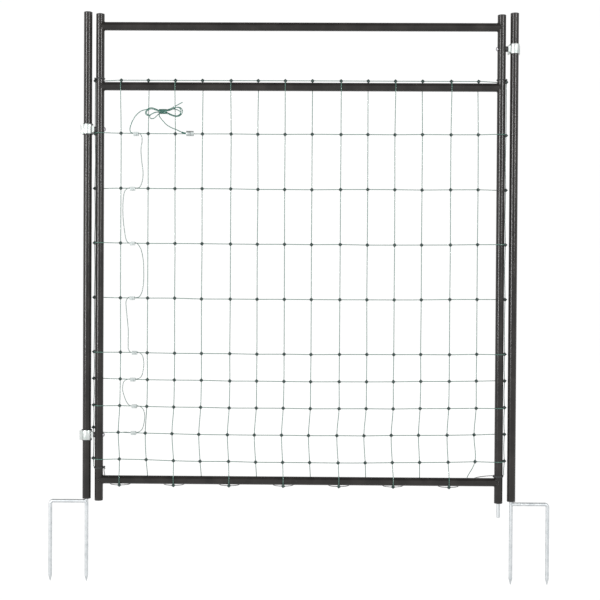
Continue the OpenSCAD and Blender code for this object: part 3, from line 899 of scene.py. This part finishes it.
@dataclass
class Net:
    """Electric netting: twisted lines and uprights, moulded knots and the black corner ties.

    The slack fields say how far the net hangs from where a tight one would be: sag_by_row is the sag that
    each row adds, stray_z and stray_x the most that a knot strays, low_shift the sideways shift of the
    lowest rows, and edge_out and edge_slack how far the outer strands stand off the stiles. A knot's outline
    is a diamond whose sides have the power knot_swell, and knot_taper is the power of its roundness in depth.
    """

    finishes: Finishes
    rows: int = 10
    uprights: int = 14
    strand_r: float = 1.1 * MM
    cross: float = 1.3 * MM
    extra_step: float = 4 * MM
    tube_r: float = 11.5 * MM
    knot_r: float = 5.0 * MM
    knot_depth: float = 2.7 * MM
    sag_by_row: float = 0.75 * MM
    edge_out: float = 2.0 * MM
    edge_slack: float = 0.25 * MM
    stray_z: float = 0.7 * MM
    stray_x: float = 0.6 * MM
    low_shift: Mapping[int, float] = field(default_factory=lambda: {7: -0.8 * MM, 8: -5.5 * MM, 9: -1.8 * MM})
    knot_swell: float = 1.45
    knot_taper: float = 0.6
    knot_tilt: float = 0.14

    # Distance from the knot's middle and radius of the collar's rings, in millimetres.
    COLLAR = ((2.4, 2.0), (3.6, 1.75), (4.7, 1.5), (5.2, 1.25))

    def __post_init__(self) -> None:
        """Reads the lines' heights and the uprights' places from the frame."""
        self.first_x = box_of("front_uprights")[0].x + self.strand_r
        self.last_x = box_of("back_uprights")[1].x - self.strand_r
        self.pitch = (self.last_x - self.first_x - 3 * self.extra_step) / (self.uprights - 1)
        self.heights = [box_of(self.node(row))[0].z + self.strand_r for row in range(self.rows + 1)]
        self.hinge = middle_of("hinge_stile")
        self.latch = middle_of("latch_stile")
        self.edges = {
            Side.HINGE: middle_of("hinge_edge_upright").x - self.edge_out,
            Side.LATCH: middle_of("latch_edge_upright").x + self.edge_out,
        }
        self.edge_y = box_of("hinge_edge_upright")[1].y - self.strand_r
        self.behind = self.tube_r + self.knot_depth + 0.4 * MM

    def node(self, row: int) -> str:
        """CAD node of a line, from the top line at row 0 to the bottom line."""
        return {0: "net_top_line", self.rows: "net_bottom_line"}.get(row, f"net_line_{row}")

    def upright_x(self, i: int) -> float:
        """Place of upright i, counted from 1 at the hinge stile."""
        return self.first_x + (i - 1) * self.pitch + (i - 1) // 4 * self.extra_step

    def knot_place(self, row: int, i: int) -> Vector:
        """Middle of a knot, with the slack of a net that hangs from its top line.

        Args:
            row: The line, 0 at the top.
            i: The upright, 1 at the hinge stile.

        Returns:
            The place, in metres.
        """
        chance = random.Random(row * 31 + i)
        z = self.heights[row]
        x = self.upright_x(i)
        if row == self.rows:
            if i == self.uprights:
                return Vector((x - 22 * MM, self.behind, z + 13 * MM))
            return Vector((x, -9.5 * MM, z + 3 * MM) if i % 2 else (x, self.behind, z + 8.5 * MM))
        if row:
            share = (i - 0.5) / self.uprights
            z -= self.sag_by_row * row * 4 * share * (1 - share) + chance.uniform(-self.stray_z, self.stray_z)
            x += self.low_shift.get(row, 0) + chance.uniform(-self.stray_x, self.stray_x)
        return Vector((x, 0, z))

    def build(self) -> None:
        """Makes the lines, uprights, edge strands, knots and ties."""
        for row in range(self.rows):
            self.add_line(row)
        self.add_bottom_line()
        self.add_uprights("front_uprights", 1)
        self.add_uprights("back_uprights", 2)
        for side in Side:
            self.add_edge(side)
        self.add_knots()
        self.add_ties()

    def stile_turn(self, row: int, side: Side) -> list[Vector]:
        """Points of a line round one stile: even rows pass behind it, odd rows in front.

        Args:
            row: The line.
            side: Which stile.

        Returns:
            The points, from the edge knot inwards.
        """
        stile = self.hinge if side is Side.HINGE else self.latch
        out = side.value
        x, z = stile.x, self.heights[row]
        edge = self.edge_knot(row, side)
        r, t = self.tube_r, self.strand_r
        if row % 2:
            turn = [(r + 1.9 * MM, 0.5 * MM), (r - 1.0 * MM, 3 * MM - r), (2 * MM, -r - t - 0.8 * MM)]
            start = Vector((edge.x, edge.y - self.knot_depth, edge.z))
        else:
            turn = [(2 * MM, r + t + 0.8 * MM)]
            start = Vector((edge.x - out * self.knot_r * 0.6, edge.y + 0.9 * MM, edge.z))
        return [start, *(Vector((x + out * dx, y, z)) for dx, y in turn)]

    def edge_knot(self, row: int, side: Side) -> Vector:
        """Middle of a line's outer knot; one line's climbs over the lower clip's neck.

        Args:
            row: The line.
            side: Which stile.

        Returns:
            The place, in metres.
        """
        z = self.heights[row]
        if side is Side.HINGE:
            z = max(z, box_of(self.node(row))[1].z - self.strand_r)
        return Vector((self.edges[side] + side.value * row * self.edge_slack, self.edge_y, z))

    def through(self, row: int, i: int, lead: float = 0) -> Vector:
        """A line's point at knot i, or that far beside it."""
        return self.knot_place(row, i) + Vector((lead, -self.cross, 0))

    def add_line(self, row: int) -> None:
        """Makes one line, from edge knot to edge knot.

        Args:
            row: The line's number from the top, 0 for the top line.
        """
        lead = self.knot_r * 1.2
        points = self.stile_turn(row, Side.HINGE)
        points += [self.through(row, 1, -lead), *(self.through(row, i) for i in range(1, self.uprights + 1))]
        points += [self.through(row, self.uprights, lead), *reversed(self.stile_turn(row, Side.LATCH))]
        self.strand(self.node(row) + "_twine", [points], "net_twine", self.node(row))

    def under_rail(self, knot: Vector, way: int) -> list[Vector]:
        """Points of the bottom line on one side of a front knot: under the rail and up behind it.

        Args:
            knot: The knot's middle.
            way: 1 towards the latch stile, -1 towards the hinge stile.

        Returns:
            The points, from the knot outwards.
        """
        steps = ((14, 5, -0.3), (24, 11.5, 0), (34, 20, 3.5), (46, 24, 8))
        return [knot + Vector((way * dx, dy, dz)) * MM for dx, dy, dz in steps]

    def add_bottom_line(self) -> None:
        """Makes the black bottom line, under the rail to each front knot and up behind it to the ties."""
        rail, low = middle_of("bottom_rail").z, self.hinge.x + self.tube_r
        points = [
            Vector((low + 1.4 * MM, 5 * MM, rail + 26 * MM)),
            Vector((low + 2.2 * MM, 11 * MM, rail + 14 * MM)),
            Vector((low + 3.5 * MM, self.behind - 1 * MM, rail + 2 * MM)),
        ]
        knots = [self.knot_place(self.rows, i) for i in range(1, self.uprights + 1)]
        for i, knot in enumerate(knots, 1):
            if i % 2:
                points += [*reversed(self.under_rail(knot, -1)), knot, *self.under_rail(knot, 1)]
            else:
                points.append(knot)
        ends = ((12, -0.4, rail + 5 * MM), (30, -1.5, rail + 11.5 * MM), (51, -4, rail + 15 * MM))
        points += [Vector((knots[-1].x + dx * MM, self.behind + dy * MM, z)) for dx, dy, z in ends]
        points.append(Vector((self.latch.x - 15.5 * MM, 4 * MM, rail + 17.5 * MM)))
        maker, lay = MeshMaker(), Lay(self.strand_r, wires=False)
        lay.add(maker, smooth_line(points, lay.step))
        piece = maker.object("net_bottom_line_cord", [self.finishes.tie])
        settle(piece, Body.LEAF, "tie_cord", "net_bottom_line")

    def add_uprights(self, node: str, first: int) -> None:
        """Makes every second upright, each passed over the middle and bottom rail on its own side.

        Args:
            node: The CAD node that they stand for.
            first: The first upright: 1 for those in front of the rails, 2 for those behind.
        """
        side = -1 if first == 1 else 1
        top, bottom = middle_of("middle_rail").z, middle_of("bottom_rail").z
        r, t = self.tube_r, self.strand_r
        turn = [
            (2.2 * MM, 14.6 * MM),
            (r - 2.0 * MM, r - 0.7 * MM),
            (r + t + 0.4 * MM, 2 * MM),
            (r + t + 0.2 * MM, -4 * MM),
        ]
        lines = []
        for i in range(first, self.uprights + 1, 2):
            x = self.upright_x(i)
            points = [Vector((x, side * y, top + z)) for y, z in turn]
            points += [self.knot_place(row, i) + Vector((0, self.cross, 0)) for row in range(1, self.rows)]
            end = self.knot_place(self.rows, i)
            out = side * (r + t + 0.5 * MM)
            points += [Vector((end.x, out, bottom + 9 * MM)), Vector((end.x, out, bottom - 3 * MM)), end]
            lines.append(points)
        self.strand(node + "_twine", lines, "net_twine", node)

    def add_edge(self, side: Side) -> None:
        """Makes the outer strand beside one stile, down to its lower tie.

        Args:
            side: The stile's side.
        """
        node = "hinge_edge_upright" if side is Side.HINGE else "latch_edge_upright"
        low = box_of(node)[0].z
        x = self.edges[side]
        points = [Vector((x, self.edge_y, self.heights[0] + self.knot_r))]
        for row in range(self.rows):
            points.append(self.edge_knot(row, side))
            if 0 < row < self.rows - 1:
                sway = Vector((-side.value * 1.2 * MM, 0.4 * MM, 0))
                points.append((points[-1] + self.edge_knot(row + 1, side)) / 2 + sway)
        points += [Vector((x, 5 * MM, low + 9 * MM)), Vector((x, 1.5 * MM, low + 0.5 * MM))]
        self.strand(node + "_twine", [points], "net_twine", node)

    def strand(self, name: str, routes: Sequence[Sequence[Vector]], slot: str, node: str) -> None:
        """Makes one piece of twisted strands along smooth routes.

        Args:
            name: The piece's name.
            routes: The points of each strand.
            slot: Its material slot.
            node: The CAD node that it stands for.
        """
        lay = Lay(self.strand_r)
        maker = MeshMaker()
        for number, route in enumerate(routes):
            lay.add(maker, smooth_line(route, lay.step), number * 1.1)
        piece = maker.object(name, [self.finishes.twine, self.finishes.wire])
        settle(piece, Body.LEAF, slot, node)

    def add_knots(self) -> None:
        """Makes every moulded knot."""
        maker = MeshMaker()
        for row in range(self.rows + 1):
            for i in range(1, self.uprights + 1):
                self.add_knot(maker, self.knot_place(row, i), row * 17 + i)
        for side in Side:
            for row in range(self.rows):
                self.add_knot(maker, self.edge_knot(row, side), row * 5 + side.value)
        knots = maker.object("net_knots_moulded", [self.finishes.knot])
        settle(knots, Body.LEAF, "knot_plastic", "net_knots")

    def add_knot(self, maker: MeshMaker, place: Vector, seed: int) -> None:
        """Adds a knot: a soft diamond moulded round the crossing, with a short collar on each strand.

        Args:
            maker: Where the mesh is gathered.
            place: Its middle.
            seed: Seed of its tilt.
        """
        tilt = Matrix.Rotation(random.Random(seed).uniform(-self.knot_tilt, self.knot_tilt), 3, "Y")
        rings = []
        for k in range(1, 8):
            a = math.pi * k / 8
            y, r = -math.cos(a) * self.knot_depth, math.sin(a) ** self.knot_taper
            ring = []
            for j in range(20):
                b = math.tau * j / 20
                c, s = math.cos(b), math.sin(b)
                reach = (abs(c) ** self.knot_swell + abs(s) ** self.knot_swell) ** (-1 / self.knot_swell)
                size = reach * r * self.knot_r
                ring.append(place + tilt @ Vector((c * size, y, s * size)))
            rings.append(ring)
        maker.loft(rings)
        for way in (Vector((1, 0, 0)), Vector((-1, 0, 0)), Vector((0, 0, 1)), Vector((0, 0, -1))):
            y = -self.cross if way.x else self.cross
            self.add_collar(maker, place + Vector((0, y, 0)), tilt @ way)

    def add_collar(self, maker: MeshMaker, place: Vector, way: Vector) -> None:
        """Adds the tapered collar that a strand leaves a knot by.

        Args:
            maker: Where the mesh is gathered.
            place: The strand's middle at the knot.
            way: The direction that it leaves in.
        """
        side = Vector((0, 1, 0))
        top = way.cross(side)
        rings = []
        turns = [math.tau * k / 10 for k in range(10)]
        for along, r in self.COLLAR:
            middle = place + way * along * MM
            rings.append([middle + (side * math.cos(a) + top * math.sin(a)) * r * MM for a in turns])
        maker.loft(rings)

    def add_ties(self) -> None:
        """Makes the black cords wound round the stiles at the net's four corners, each drawn up in a knot."""
        maker = MeshMaker()
        low, high = box_of("corner_ties")
        top = high.z - 3 * MM
        rail = middle_of("bottom_rail").z
        self.add_tie(maker, Vector((self.hinge.x, 0, top)), -1)
        self.add_tie(maker, Vector((self.latch.x, 0, top)), 1)
        self.add_tie(maker, Vector((self.hinge.x, 0, rail + 33 * MM)), 1, 2.6, 1.6)
        self.add_tie(maker, Vector((self.latch.x, 0, rail + 17 * MM)), -1, 2.6)
        settle(maker.object("corner_tie_cords", [self.finishes.tie]), Body.LEAF, "tie_cord", "corner_ties")

    def add_tie(self, maker: MeshMaker, place: Vector, way: int, turns: float = 1.6, lump: float = 1) -> None:
        """Adds one tie: turns of cord round the stile, drawn up in a knot.

        Args:
            maker: Where the mesh is gathered.
            place: The tie's middle, on the stile's axis.
            way: 1 for a knot towards +X, else -1.
            turns: Number of turns.
            lump: Size of the knot, 1 for a small one.
        """
        r = 1.0 * MM
        lay = Lay(r, 7 * MM, 1.2 * MM, 0.75, False)
        ring_r = self.tube_r + r + 0.1 * MM
        count = int(24 * turns)
        start = 0 if way > 0 else math.pi
        coil = []
        for k in range(count + 1):
            a = start + math.tau * k / 24
            rise = (k / count - 0.5) * (turns - 0.6) * 2.1 * MM
            coil.append(place + Vector((ring_r * math.cos(a), ring_r * math.sin(a), rise)))
        lay.add(maker, smooth_line(coil, lay.step))
        middle = place + Vector((way * (ring_r + 2.2 * lump * MM - 0.7 * MM), -1 * MM, 0))
        loop = []
        for k in range(37):
            turn = math.tau * k / 36
            a, b = 3 * turn, 2 * turn
            out = (1.5 + 0.7 * math.cos(a)) * lump * MM
            spot = Vector((lump * MM * math.sin(a), out * math.cos(b), out * math.sin(b) * 1.4))
            loop.append(middle + spot)
        lay.add(maker, smooth_line(loop, lay.step))


@dataclass
class Leads:
    """Jumper lead across the line clamps, and the hanked feed cord with its clamp.

    Radii and lengths are in metres. The hank's own sizes and the routes' points are in millimetres: a run's
    points are (x, z), at the depth that run_y gives it, and draw_in is the share by which the third run's
    loops are smaller than the second's.
    """

    finishes: Finishes
    jumper_r: float = 1.1 * MM
    feed_r: float = 1.3 * MM
    lead_y: float = -5.6 * MM
    run_y: tuple[float, float, float] = (-11.7, -14.2, -16.7)
    waist_x: float = 208.0
    waist_z: float = 1077.2
    draw_in: float = 0.07
    binding_r: float = 0.75 * MM
    binding_length: float = 15 * MM
    wrap_depth: float = 6.6
    wrap_height: float = 5.7
    wrap_pitch: float = 2.72
    wrap_start: float = 218.4
    wraps: float = 7.5
    per_turn: int = 16
    droop: float = 3.0

    FIRST_RUN = (
        (163, 1083), (168, 1085.8), (174, 1087.6), (182, 1086.6), (190, 1083.5), (198, 1080.6), (208, 1080),
        (217, 1080.4), (227, 1082.6), (237, 1084.4), (246, 1082.6), (252.8, 1079), (256.4, 1074.4),
        (255.2, 1069.6), (250.6, 1066.6), (243, 1066), (234, 1068.2), (225, 1072), (217, 1075.6),
        (208, 1077.2), (198, 1077), (189, 1075.4), (180.6, 1072.4), (174.6, 1069), (171.4, 1064.6),
        (172.6, 1060), (177.4, 1057.8), (182.6, 1059), (187.8, 1062.8), (193, 1068), (199, 1072.8),
        (207, 1074.4), (216, 1073.2),
    )
    SECOND_RUN = (
        (226, 1068.8), (237, 1064.8), (247, 1063.8), (254.6, 1066.2), (259.4, 1071.6), (261.4, 1078.6),
        (259, 1085), (252.6, 1088.8), (244.6, 1088.4), (236, 1084.6), (227, 1080.4), (217, 1078.6),
        (207, 1078.6), (198, 1078.8), (189, 1080.8), (180, 1083.8), (172.6, 1084.2), (165.4, 1081.2),
        (160.4, 1076.2), (160.6, 1070.6), (165.4, 1066.6), (171.4, 1066.8), (178, 1071), (186.4, 1074.4),
        (196, 1075.2), (204, 1074.4),
    )

    JUMPER = (
        (126.1, 1016), (142, 1016), (148, 1009), (150, 996), (147, 972), (149, 941), (153, 906), (150, 882),
        (143, 868), (134, 866), (114, 866), (104, 859), (99, 836), (98, 801), (100, 769), (104, 741),
        (108, 723), (114, 716), (134, 716), (146, 703), (154, 672), (156, 637), (155, 603), (150, 578),
        (143, 568), (134, 566), (114, 566), (108, 556), (108, 540), (111, 510), (114, 478), (114, 445),
        (115, 424), (121, 416), (141, 416), (152, 409), (157, 388), (155, 364), (149, 348), (137, 342.5),
        (117, 342.5), (104, 337), (99, 316), (104, 294), (113, 275), (121, 269), (141, 269), (154, 262),
        (160, 246), (159, 226), (152, 203), (139, 195.5), (119, 195.5), (108, 196.5), (100, 196),
    )
    LEFT = (
        (125.9, -5.6, 1016), (119.5, -6.2, 1018), (117, -6.8, 1023), (117, -7.5, 1029), (119.5, -9, 1038),
        (124.5, -10.5, 1049.5), (131.5, -12, 1060.5), (140, -12.6, 1069.5), (148.5, -12.4, 1075.8),
        (156.4, -11.9, 1078.6),
    )
    RIGHT = (
        (200.4, -13.0, 1058), (206, -13.5, 1051), (216, -13, 1040), (230, -12, 1031), (244, -10.5, 1025.5),
        (256, -8.5, 1020), (264, -6.8, 1016.8), (270.9, -6, 1016),
    )
    TAIL = (
        (219.6, -13.8, 1079.4), (224, -13.8, 1080.4), (229, -13.7, 1082.3), (238, -13.8, 1087),
        (248, -14, 1092.4), (256, -14, 1096.8), (261.5, -13.8, 1099.6),
    )

    def build(self) -> None:
        self.add_feed_cord()
        self.add_jumper()

    def add_jumper(self) -> None:
        """Makes the held jumper lead."""
        lay = Lay(self.jumper_r, 0.012, 0.0015)
        maker = MeshMaker()
        lay.add(maker, smooth_line([Vector((x * MM, self.lead_y, z * MM)) for x, z in self.JUMPER], lay.step))
        piece = maker.object("jumper_lead_twine", [self.finishes.lead, self.finishes.wire])
        settle(piece, Body.LEAF, "lead_wire", "jumper_lead")

    def hank(self) -> list[Vector]:
        """Points of the wound stretch: three runs through the waist and loops, then the turns round it."""
        back, middle, front = self.run_y
        route = [(x, back, z) for x, z in self.FIRST_RUN]
        route += [(x, middle, z) for x, z in self.SECOND_RUN]
        route.append((214, (middle + front) / 2, 1072.6))
        for x, z in self.SECOND_RUN:
            to_x, to_z = self.waist_x - x, self.waist_z - z
            route.append((x + to_x * self.draw_in, front, z + to_z * self.draw_in))
        route += [(209.4, front - 1.4, 1073), (213.4, front - 2.7, 1072.6), (216.8, front - 3.7, 1074)]
        for k in range(int(self.wraps * self.per_turn) + 1):
            a = math.tau * k / self.per_turn
            x = self.wrap_start - self.wrap_pitch * k / self.per_turn
            y, z = middle - self.wrap_depth * math.cos(a), self.waist_z + self.wrap_height * math.sin(a)
            route.append((x, y, z))
        route += [(197.2, -9.2, 1069.5), (197.6, -11.4, 1065.2)]
        return [Vector((x, y, z - self.droop)) * MM for x, y, z in route]

    def bind_end(self, line: Sequence[Vector]) -> bpy.types.Object:
        """Winds the binding round the feed cord's last stretch, just before its clamp.

        Args:
            line: The cord's points, an even step apart.

        Returns:
            The binding, riding on the leaf.
        """
        step = length_of(line[-2:])
        fine = evenly(line[-int(self.binding_length / step):-1], self.binding_r / 2)
        ring_r = self.feed_r + self.binding_r * 0.7
        turn = math.tau * self.binding_r / 2 / (self.binding_r * 2.2)
        coil = []
        for i, (p, (_, side, top)) in enumerate(zip(fine, frames_along(fine))):
            coil.append(p + (side * math.cos(i * turn) + top * math.sin(i * turn)) * ring_r)
        maker = MeshMaker()
        Lay(self.binding_r, 0.006, 0.0006, 0.85, False).add(maker, smooth_line(coil, 0.6 * MM))
        return settle(maker.object("feed_cord_binding", [self.finishes.feed]), Body.LEAF, "feed_cord_twine")

    def add_feed_cord(self) -> None:
        """Makes the feed cord, from the first line clamp through its hank to the feed clamp, and its tail."""
        points = [Vector(p) * MM for p in self.LEFT] + self.hank() + [Vector(p) * MM for p in self.RIGHT]
        lay = Lay(self.feed_r, 0.010, 0.0013, 0.82)
        line = smooth_line(points, lay.step)
        maker = MeshMaker()
        lay.add(maker, line)
        cord = maker.object("feed_cord_wound", [self.finishes.feed, self.finishes.wire])
        settle(cord, Body.LEAF, "feed_cord_twine", "feed_cord_left", "feed_cord_hank", "feed_cord_right")
        nodes = [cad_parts[n] for n in ("feed_clamp_body", "feed_clamp_nut")]
        nodes.append(self.bind_end(line))
        round(length_of(line), 3)
        2 * self.feed_r
        tail_line = smooth_line([Vector(p) * MM for p in self.TAIL], lay.step)
        maker = MeshMaker()
        lay.add(maker, tail_line)
        tail = maker.object("feed_cord_tail", [self.finishes.feed, self.finishes.wire])
        settle(tail, Body.LEAF, "feed_cord_twine", "feed_cord_end")
        round(length_of(tail_line), 3)
        2 * self.feed_r


def main() -> None:
    """Builds every sub-assembly in order."""
    logging.basicConfig(level=logging.INFO, format="%(name)s: %(message)s")
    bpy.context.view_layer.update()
    Stage().build()
    finishes = Finishes.make()
    builders: list[Callable[[], None]] = [
        Leads(finishes).build,
        Tubework(finishes).build,
        Forks(finishes).build,
        Hardware(finishes).build,
        Net(finishes).build,
    ]
    for build in builders:
        build()


if __name__ == "__main__":
    main()
